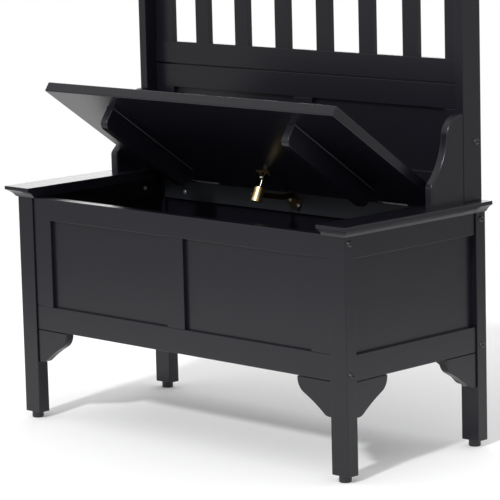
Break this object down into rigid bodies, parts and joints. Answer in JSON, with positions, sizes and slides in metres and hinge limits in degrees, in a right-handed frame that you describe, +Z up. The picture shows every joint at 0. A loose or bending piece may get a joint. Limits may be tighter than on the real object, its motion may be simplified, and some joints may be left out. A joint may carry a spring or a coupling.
{
  "type": "hall tree bench",
  "caption": "Black painted hall tree: a storage bench with a lift-up seat lid on a stay, shaped arms, and a tall slatted back with coat hooks.",
  "frame": {"origin": "on the floor under the glides, at the centre of the bench's plan", "axes": "+Z up along the back, +X to the bench's left-to-right width, -Y the front"},
  "size_m": [0.888, 0.389, 1.75],
  "materials": {
    "black_painted_wood": "satin paint",
    "zinc_plated_steel": "bright zinc",
    "brass": "lacquered",
    "black_painted_metal": "satin",
    "black_plastic": "matte"
  },
  "bodies": {
    "frame": {"back_bottom_rail": "black_painted_wood", "back_lower_left_panel": "black_painted_wood", "back_lower_left_stile": "black_painted_wood", "back_lower_mullion": "black_painted_wood", "back_lower_rail": "black_painted_wood", "back_lower_right_panel": "black_painted_wood", "back_lower_right_stile": "black_painted_wood", "back_second_rail": "black_painted_wood", "back_slats": "black_painted_wood", "back_upper_rail": "black_painted_wood", "barrel_nuts": "zinc_plated_steel", "chest_floor": "black_painted_wood", "coat_hooks": "black_painted_metal", "crown_cap": "black_painted_wood", "frame_bolts": "black_painted_metal", "frame_screws": "zinc_plated_steel", "front_bottom_rail": "black_painted_wood", "front_left_leg": "black_painted_wood", "front_left_panel": "black_painted_wood", "front_left_stile": "black_painted_wood", "front_mullion": "black_painted_wood", "front_right_leg": "black_painted_wood", "front_right_panel": "black_painted_wood", "front_right_stile": "black_painted_wood", "front_top_rail": "black_painted_wood", "hinge_frame_leaves": "zinc_plated_steel", "hinge_pins": "zinc_plated_steel", "hook_board": "black_painted_wood", "left_arm_panel": "black_painted_wood", "left_back_post": "black_painted_wood", "left_back_stile": "black_painted_wood", "left_seat_trim": "black_painted_wood", "left_side_bottom_rail": "black_painted_wood", "left_side_panel": "black_painted_wood", "left_side_top_rail": "black_painted_wood", "leg_brackets": "black_painted_wood", "leg_glides": "black_plastic", "rear_bottom_rail": "black_painted_wood", "rear_left_leg": "black_painted_wood", "rear_panel": "black_painted_wood", "rear_right_leg": "black_painted_wood", "rear_seat_strip": "black_painted_wood", "rear_top_rail": "black_painted_wood", "right_arm_panel": "black_painted_wood", "right_back_post": "black_painted_wood", "right_back_stile": "black_painted_wood", "right_seat_trim": "black_painted_wood", "right_side_bottom_rail": "black_painted_wood", "right_side_panel": "black_painted_wood", "right_side_top_rail": "black_painted_wood", "stay_wall_bracket": "brass"},
    "lid": {"lid_panel": "black_painted_wood", "lid_ribs": "black_painted_wood", "hinge_lid_leaves": "zinc_plated_steel", "lid_screws": "zinc_plated_steel", "stay_lid_bracket": "brass"},
    "stay_lower": {"stay_lower_arm": "brass"},
    "stay_upper": {"stay_barrel": "brass", "stay_rod": "brass"}
  },
  "joints": [
    {"name": "lid_hinge", "type": "hinge", "parent": "frame", "child": "lid", "pos_m": [0, 0.1545, 0.456], "axis": [-1, 0, 0], "range_deg": [-34.6, 40.4]},
    {"name": "stay_wall_pivot", "type": "hinge", "parent": "frame", "child": "stay_lower", "pos_m": [-0.025, 0.1405, 0.425], "axis": [-1, 0, 0], "range_deg": [-34.6, 40.4]},
    {"name": "stay_knee", "type": "hinge", "parent": "stay_lower", "child": "stay_upper", "pos_m": [-0.025, 0.05892, 0.44058], "axis": [-1, 0, 0], "range_deg": [-40.4, 34.6]}
  ],
  "couplings": [
    {"joint": "stay_wall_pivot", "follows": "lid_hinge", "ratio": 1},
    {"joint": "stay_knee", "follows": "lid_hinge", "ratio": -1}
  ]
}
